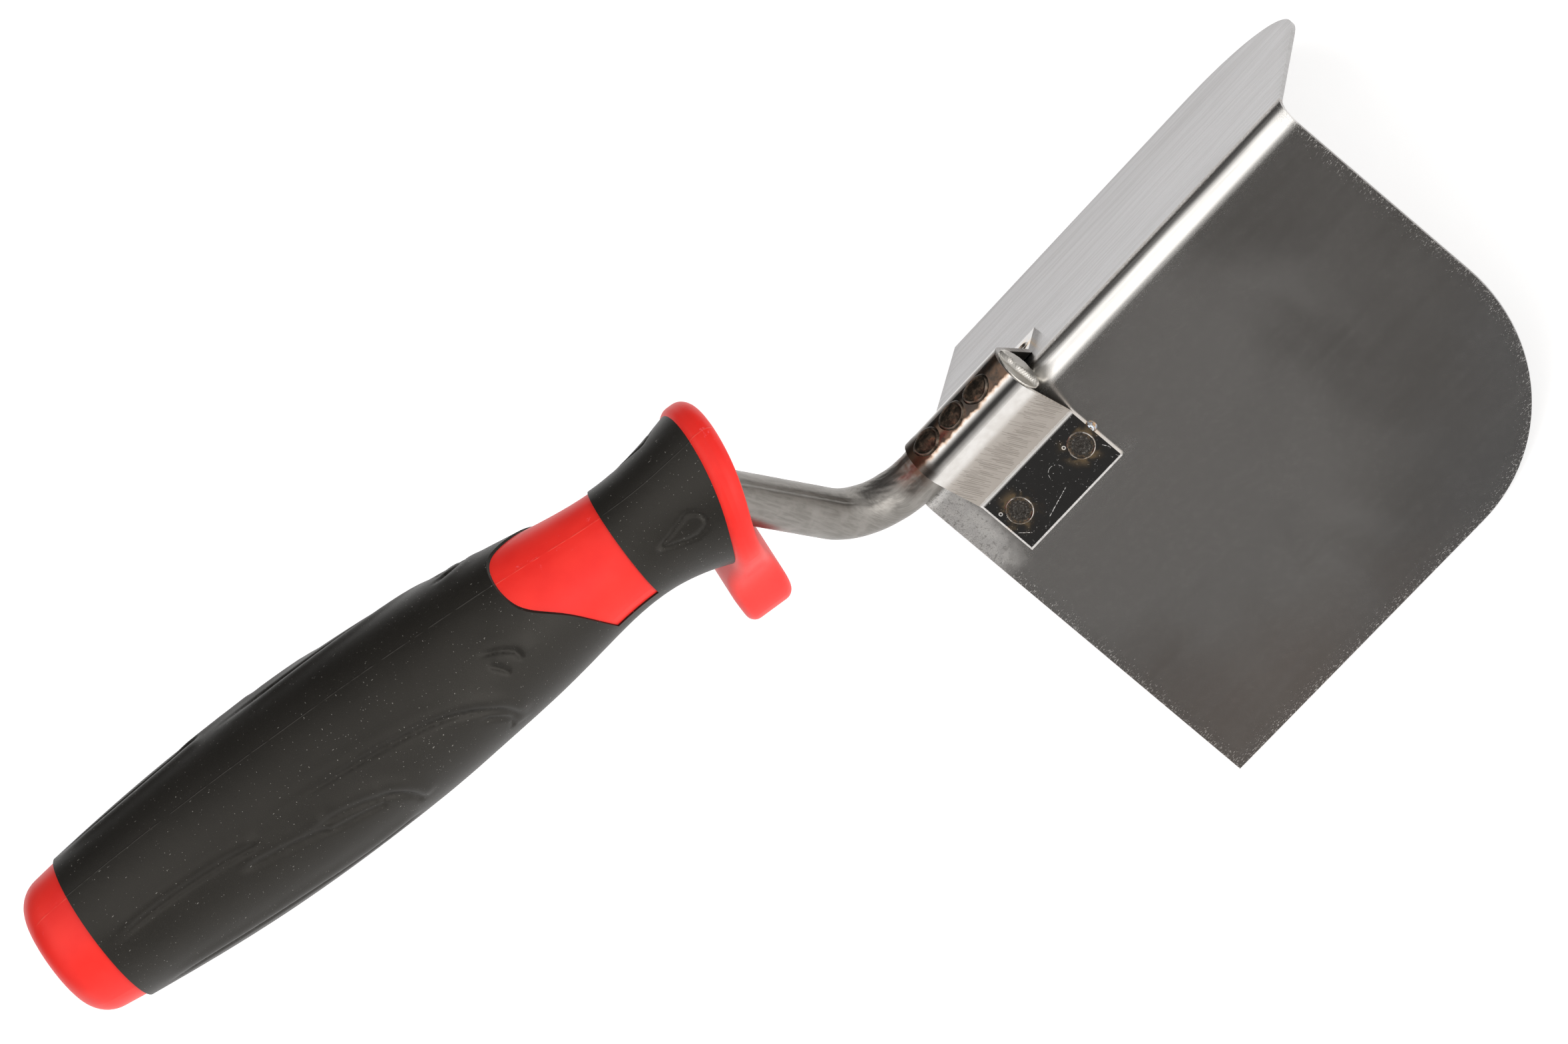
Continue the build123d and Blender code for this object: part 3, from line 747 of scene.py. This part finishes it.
def red_plastic():
    """Satin hard plastic with a parting line, faint flow marks and pale scuffs."""
    material = bpy.data.materials.new("red_plastic")
    s = Shader(material)
    where, x, across, z = s.place()
    neck = (NECK - CORNER) / MM
    rel_x, rel_z = s.math("SUBTRACT", x, neck.x), s.math("SUBTRACT", z, neck.z)
    along = s.add(s.times(rel_x, ALONG.x), s.times(rel_z, ALONG.z))
    up = s.add(s.times(rel_x, UP.x), s.times(rel_z, UP.z))
    cloud = s.noise(where, 0.16, 3.0, 0.5)
    fine = s.noise(where, 7.0, 2.0, 0.6)
    flow = s.noise(s.vector(s.times(along, 3.0), s.times(across, 0.15), s.times(up, 0.5)), 1.0, 2.0, 0.6)
    line = parting_line(s, across, where)
    scuffs = s.noise(where, 0.75, 4.0, 0.7, 0.8)
    near_line = s.step(s.math("ABSOLUTE", across), 3.0, 0.0)
    scuff = s.largest(s.step(scuffs, 0.735, 0.77), s.times(near_line, s.step(scuffs, 0.64, 0.68)))
    tone = s.coats(
        s.mix(s.step(cloud, 0.25, 0.75), (0.86, 0.024, 0.018), (0.94, 0.034, 0.024)),
        (s.times(line, 0.22), (0.95, 0.22, 0.16)),
        (s.times(scuff, 0.50), (0.95, 0.16, 0.20)),
    )
    rough = s.add(0.36, s.times(fine, 0.10), s.times(scuff, 0.18))
    relief = s.add(s.times(fine, 0.005), s.times(cloud, 0.05), s.times(flow, 0.006), s.times(line, 0.03))
    s.surface(
        Base_Color=tone, Roughness=rough, Normal=s.bump(relief), Specular_IOR_Level=0.24,
        Subsurface_Weight=0.12, Subsurface_Radius=(0.9 * MM, 0.2 * MM, 0.15 * MM), Subsurface_Scale=1.0,
    )
    return material


def black_grip():
    """Matte soft moulding: fine grain, a parting line and specks of plaster dust."""
    material = bpy.data.materials.new("black_grip")
    s = Shader(material)
    where, _, across, _ = s.place()
    grain = s.noise(where, 6.0, 3.0, 0.75)
    cloud = s.noise(where, 0.12, 3.0, 0.6)
    line = parting_line(s, across, where)
    dust = dust_specks(s, where)
    tone = s.coats(
        s.mix(s.step(cloud, 0.25, 0.75), (0.0055, 0.0047, 0.0037), (0.0085, 0.0074, 0.0060)),
        (s.times(s.step(grain, 0.54, 0.72), 0.22), (0.050, 0.046, 0.041)),
        (s.times(line, 0.16), (0.16, 0.15, 0.14)),
        (s.times(dust, 0.65), (0.50, 0.48, 0.44)),
    )
    rough = s.add(0.37, s.times(grain, 0.16))
    relief = s.add(s.times(grain, 0.020), s.times(line, 0.07), s.times(dust, 0.01))
    s.surface(
        Base_Color=tone, Roughness=rough, Normal=s.bump(relief), Specular_IOR_Level=0.42,
        Specular_Tint=(1.0, 0.95, 0.87),
    )
    return material


def dust_specks(s, where):
    """Scattered specks and short fibres of dust, thicker in patches."""
    patch = s.blend(s.noise(where, 0.10, 2.0, 0.6), 0.2, 1.5)
    specks = []
    for index, (squash, scale, size) in enumerate(DUST_KINDS):
        squashed = s.vector_math("MULTIPLY", {0: where, 1: squash})
        cell = s.node("ShaderNodeTexVoronoi", {"Vector": squashed, "Scale": scale, "Randomness": 1.0})
        chance = s.split(cell.outputs["Color"])[index % 3]
        reach = s.times(chance, patch, size)
        dot = s.step(cell.outputs["Distance"], reach, s.times(reach, 0.4))
        specks.append(s.times(dot, s.blend(chance, 0.1, 0.8)))
    return s.largest(*specks)


# ---------------------------------------------------------------- handle
def curve_through(points, count=12):
    """Smooth path through a few (along, angle) points."""
    points = [np.array(point, float) for point in points]
    padded = [2 * points[0] - points[1], *points, 2 * points[-1] - points[-2]]
    path = []
    for p0, p1, p2, p3 in zip(padded, padded[1:], padded[2:], padded[3:]):
        for t in np.linspace(0, 1, count, endpoint=False):
            path.append(0.5 * (
                2 * p1 + (p2 - p0) * t + (2 * p0 - 5 * p1 + 4 * p2 - p3) * t * t
                + (3 * p1 - p0 - 3 * p2 + p3) * t ** 3
            ))
    return np.array(path + [points[-1]])


# Creases of the soft grip, mirrored on both sides: points as (millimetres along, degrees from the top).
LONG_CREASES = (
    ((64, 40), (53, 43), (42, 48), (35, 54), (30, 64), (26, 80), (25, 98)),
    ((92, 49), (82, 45), (72, 46), (64, 50)),
    ((60, 61), (53, 64), (47, 72), (44, 83), (43, 97)),
    ((90, 109), (81, 104), (66, 104), (54, 108), (44, 108)),
    ((70, 57), (63, 61), (55, 68)),
)
SHORT_CREASES = (
    ((25, 36), (22, 41), (19.8, 49), (19.5, 58)),
    ((24, 46), (22.8, 53), (22, 60)),
    ((30, 72), (28, 79), (26.3, 90), (27, 100)),
    ((57.6, 68), (51, 73), (47, 77)),
)
TEARDROP = (
    (-11.2, 44), (-9.3, 48), (-7.4, 52), (-5.4, 56.5), (-7.6, 62), (-10.4, 65), (-12.6, 60), (-12.8, 51),
    (-11.2, 44),
)
# Kinds of crease: paths, depth of the groove, its width, height of the shoulder beside it.
CREASE_KINDS = ((LONG_CREASES, 0.40, 0.50, 0.24), (SHORT_CREASES, 0.32, 0.38, 0.10))
TEARDROP_SIZE = 0.34
SHOULDER_OFFSET = 1.5
SHOULDER_WIDTH = 1.2
GRIP_RADIUS = 13.0           # turns angles about the axis into millimetres on the skin
GRIP_EDGE = 0.60 * MM        # longest mesh edge on the grip's skin
GRIP_SMOOTHING = 6


def distance_to(path, flat):
    """For each flat point: distance to a path, side of the path, and share of the path run so far."""
    best = np.full(len(flat), 1e9)
    side = np.zeros(len(flat))
    fade = np.zeros(len(flat))
    for index in range(len(path) - 1):
        start, run = path[index], path[index + 1] - path[index]
        t = np.clip((flat - start) @ run / (run @ run), 0, 1)
        gap = flat - start - t[:, None] * run
        length = np.hypot(gap[:, 0], gap[:, 1])
        nearer = length < best
        best = np.where(nearer, length, best)
        side = np.where(nearer, np.sign(run[0] * gap[:, 1] - run[1] * gap[:, 0]), side)
        fade = np.where(nearer, (index + t) / (len(path) - 1), fade)
    return best, side, fade


def grip_relief(points):
    """How far the grip's surface stands out or in, in millimetres, at each point."""
    relative = (points - np.array(NECK)) / MM
    along = relative @ np.array(ALONG)
    up = relative @ np.array(UP)
    angle = np.degrees(np.arctan2(np.abs(relative[:, 1]), up))
    scale = np.array((1.0, math.radians(1.0) * GRIP_RADIUS))
    flat = np.column_stack((along, np.radians(angle) * GRIP_RADIUS))
    relief = np.zeros(len(points))
    for creases, depth, width, shoulder in CREASE_KINDS:
        for crease in creases:
            path = curve_through(crease) * scale
            gap, side, fade = distance_to(path, flat)
            ends = step(fade, 0.0, 0.25) * step(1 - fade, 0.0, 0.12)
            relief -= depth * np.exp(-((gap / width) ** 2)) * ends
            beside = np.exp(-(((gap - SHOULDER_OFFSET) / SHOULDER_WIDTH) ** 2)) * (side > 0)
            relief += shoulder * beside * ends
    gap = distance_to(curve_through(TEARDROP) * scale, flat)[0]
    return relief - TEARDROP_SIZE * np.exp(-((gap / TEARDROP_SIZE) ** 2))


def make_grip():
    """Soft grip with its sculpted creases."""
    piece = refined("handle_grip", "soft_grip", GRIP_EDGE, GRIP_SMOOTHING)
    points, normals = read_points(piece.data)
    relative = points - np.array(NECK)
    axis = np.array(ALONG)
    radial = relative - np.outer(relative @ axis, axis)
    outward = step(np.sum(normals * radial, axis=1) / np.linalg.norm(radial, axis=1), 0.5, 0.9)
    points += normals * (grip_relief(points) * outward * MM)[:, None]
    write_points(piece.data, points)
    adopt(piece, ["handle_grip"], black_grip())


# ---------------------------------------------------------------- steel
ROD_VOXEL = 0.24 * MM
ROD_SMOOTHING = 4
TEAR_COSINE, TEAR_SINE = 0.81, 0.586     # slant of the tear across the rod's end
BLADE_BEVEL = 0.12 * MM
STRAP_BEVEL = 0.22 * MM


def make_rod():
    """Bent rod with press marks on the inside of its bend and an end torn in two levels."""
    piece = remeshed("shank", "bent_rod", ROD_VOXEL, ROD_SMOOTHING)
    points, normals = read_points(piece.data)
    local = (points - np.array(CORNER)) / MM
    axis_z = (ROD_AXIS_Z - CORNER.z) / MM
    inside = step(normals[:, 2] + 0.35 * normals[:, 0], 0.2, 0.8)
    bend = step(local[:, 0], -6.5, -2.0) * step(-local[:, 0], -6.5, -3.0) * step(-local[:, 2], -16.0, -9.0)
    skew = np.column_stack((local[:, 0] * 0.45, local[:, 1] * 1.5 + local[:, 0] * 0.5, local[:, 2] * 0.6))
    wrinkles = wobble(skew, 0.9, 3.0) + 0.5 * wobble(skew, 2.2, 8.0)
    relief = 0.075 * wrinkles * inside * bend
    riser = step(local[:, 2], 8.0, 13.0)
    groove = np.exp(-(((local[:, 1] + 1.1) / 0.30) ** 2)) * (normals[:, 0] > 0)
    relief -= 0.13 * groove * riser
    relief += 0.02 * wobble(local, 0.5, 5.0)
    end = step(local[:, 0], 22.5, 24.0) * step(normals[:, 0], 0.5, 0.9)
    rise = local[:, 2] - axis_z
    tear_run = TEAR_COSINE * local[:, 1] + TEAR_SINE * rise
    tear_off = TEAR_COSINE * rise - TEAR_SINE * local[:, 1] - 0.15 - 0.45 * np.sin(0.8 * tear_run + 0.5)
    tear_off += 0.25 * wobble(local, 0.9, 4.0)
    ridge = np.exp(-((tear_off / 0.30) ** 2)) * (0.42 + 0.25 * wobble(local, 1.3, 2.0))
    relief += end * (ridge - 0.42 * step(tear_off, 0.10, 0.45) + 0.05 * wobble(local, 1.6, 9.0))
    points += normals * (relief * MM)[:, None]
    write_points(piece.data, points)
    adopt(piece, ["shank"], shank_steel())


PUDDLE_TURNS = 72
PUDDLE_ROWS = 22
PUDDLE_REACH = 1.08          # the puddle's rim, as a share of the slot's half size
PUDDLE_DEPTH = 0.3 * MM
PUDDLE_SEED = 4.7            # step in the noise from one puddle to the next


def make_puddle(node, material, seed):
    """Plug weld on the strap's crown: a dished oval puddle with an uneven raised lip and a flat underside."""
    low, high = (Vector(corner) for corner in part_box(node))
    centre_x = (low.x + high.x) / 2
    half_length = (high.x - low.x) / 2
    half_width = (high.y - low.y) / 2
    vertices, lip_highlights = [], []

    def put(reach, turn):
        angle = 2 * math.pi * turn / PUDDLE_TURNS
        seat = Vector((math.cos(angle), math.sin(angle), seed))
        edge = 1.0 + 0.07 * noise.noise(seat * 1.3)
        x = half_length * reach * edge * math.cos(angle)
        y = half_width * reach * edge * math.sin(angle)
        ripple = noise.noise(Vector((x / MM * 0.8, y / MM * 0.8, seed * 3.0)))
        lip = math.exp(-(((reach - 0.86) / 0.09) ** 2)) * (0.13 + 0.12 * noise.noise(seat * 1.8))
        fall = max(0.0, (reach - 0.94) / 0.14) ** 2 * 0.45
        lean = y / TUBE_RADIUS
        radius = TUBE_RADIUS + (0.10 + lip + 0.07 * ripple - fall) * MM
        vertices.append(Vector((centre_x + x, radius * math.sin(lean), ROD_AXIS_Z + radius * math.cos(lean))))
        # Painted highlight amount along the lip, for the weld material.
        lip_highlights.append(min(1.0, max(0.0, lip / 0.16 - 0.35)))

    put(0.0, 0)
    for row in range(1, PUDDLE_ROWS + 1):
        for turn in range(PUDDLE_TURNS):
            put(row / PUDDLE_ROWS * PUDDLE_REACH, turn)
    vertices += [vertex - Vector((0, 0, PUDDLE_DEPTH)) for vertex in vertices[-PUDDLE_TURNS:]]
    lip_highlights += [0.0] * PUDDLE_TURNS

    def corner(row, turn):
        return 1 + (row - 1) * PUDDLE_TURNS + turn % PUDDLE_TURNS

    faces = [(0, corner(1, turn), corner(1, turn + 1)) for turn in range(PUDDLE_TURNS)]
    for row in range(1, PUDDLE_ROWS + 1):
        for turn in range(PUDDLE_TURNS):
            near, far = corner(row, turn), corner(row, turn + 1)
            faces.append((near, near + PUDDLE_TURNS, far + PUDDLE_TURNS, far))
    faces.append(tuple(corner(PUDDLE_ROWS + 1, -turn) for turn in range(PUDDLE_TURNS)))
    mesh = bpy.data.meshes.new(node.replace("plug_weld", "puddle"))
    mesh.from_pydata(vertices, [], faces)
    mesh.polygons.foreach_set("use_smooth", [True] * len(mesh.polygons))
    mesh.attributes.new("lip", "FLOAT", "POINT").data.foreach_set("value", lip_highlights)
    piece = bpy.data.objects.new(mesh.name, mesh)
    bpy.context.scene.collection.objects.link(piece)
    adopt(piece, [node], material)


# ---------------------------------------------------------------- build
make_camera()
make_world()
make_floor()
dress("blade", blade_steel())
dress("strap", strap_steel())
spots = spot_metal()
dress("left_spot_welds", spots)
dress("right_spot_welds", spots)
dress("tack_weld", tack_metal())
round_edges("blade", BLADE_BEVEL)
round_edges("strap", STRAP_BEVEL)
make_grip()
dress("handle_core", red_plastic())
make_rod()
welds = weld_metal()
for order, place in enumerate(("heel", "middle", "toe")):
    make_puddle(f"plug_weld_{place}", welds, order * PUDDLE_SEED)
bpy.context.scene.view_settings.view_transform = "Standard"
